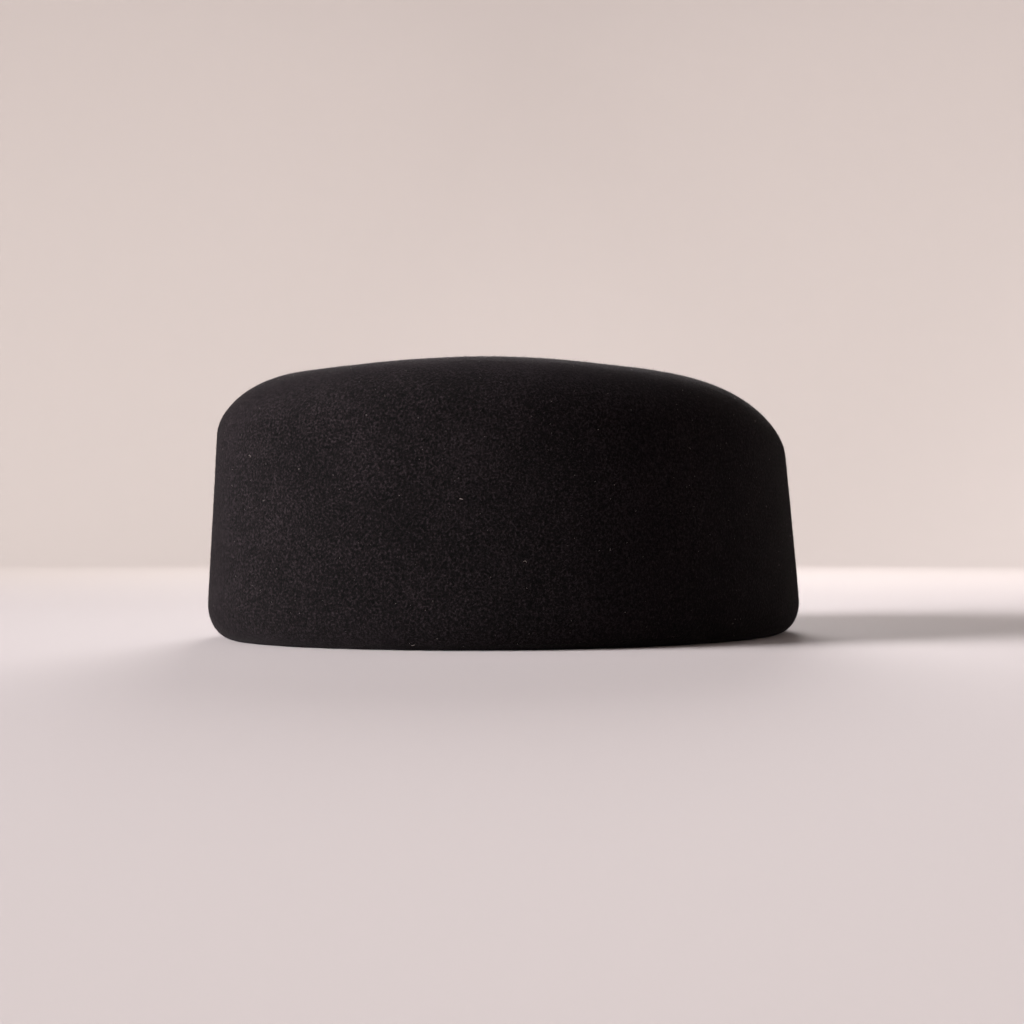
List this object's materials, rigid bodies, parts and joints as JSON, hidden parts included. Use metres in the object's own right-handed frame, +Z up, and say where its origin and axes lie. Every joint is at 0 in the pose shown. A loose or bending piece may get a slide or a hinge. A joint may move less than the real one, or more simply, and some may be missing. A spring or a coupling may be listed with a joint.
{
  "type": "pillbox hat",
  "caption": "Black felt pillbox hat: oval crown and tall wall blocked in one piece, softly rounded crown edge, rim turned in, small folded ribbon tab inside the back.",
  "frame": {"origin": "on the floor, under the middle of the hat's box", "axes": "+Z up through the crown, the front of the hat faces -Y, the wearer's left is +X"},
  "size_m": [0.186, 0.225, 0.0974],
  "materials": {
    "felt": "matte wool felt with a short nap",
    "ribbon": "smooth corded ribbon with a dull sheen"
  },
  "bodies": {
    "root": {"felt_body": "felt", "back_tab": "ribbon"}
  },
  "joints": []
}
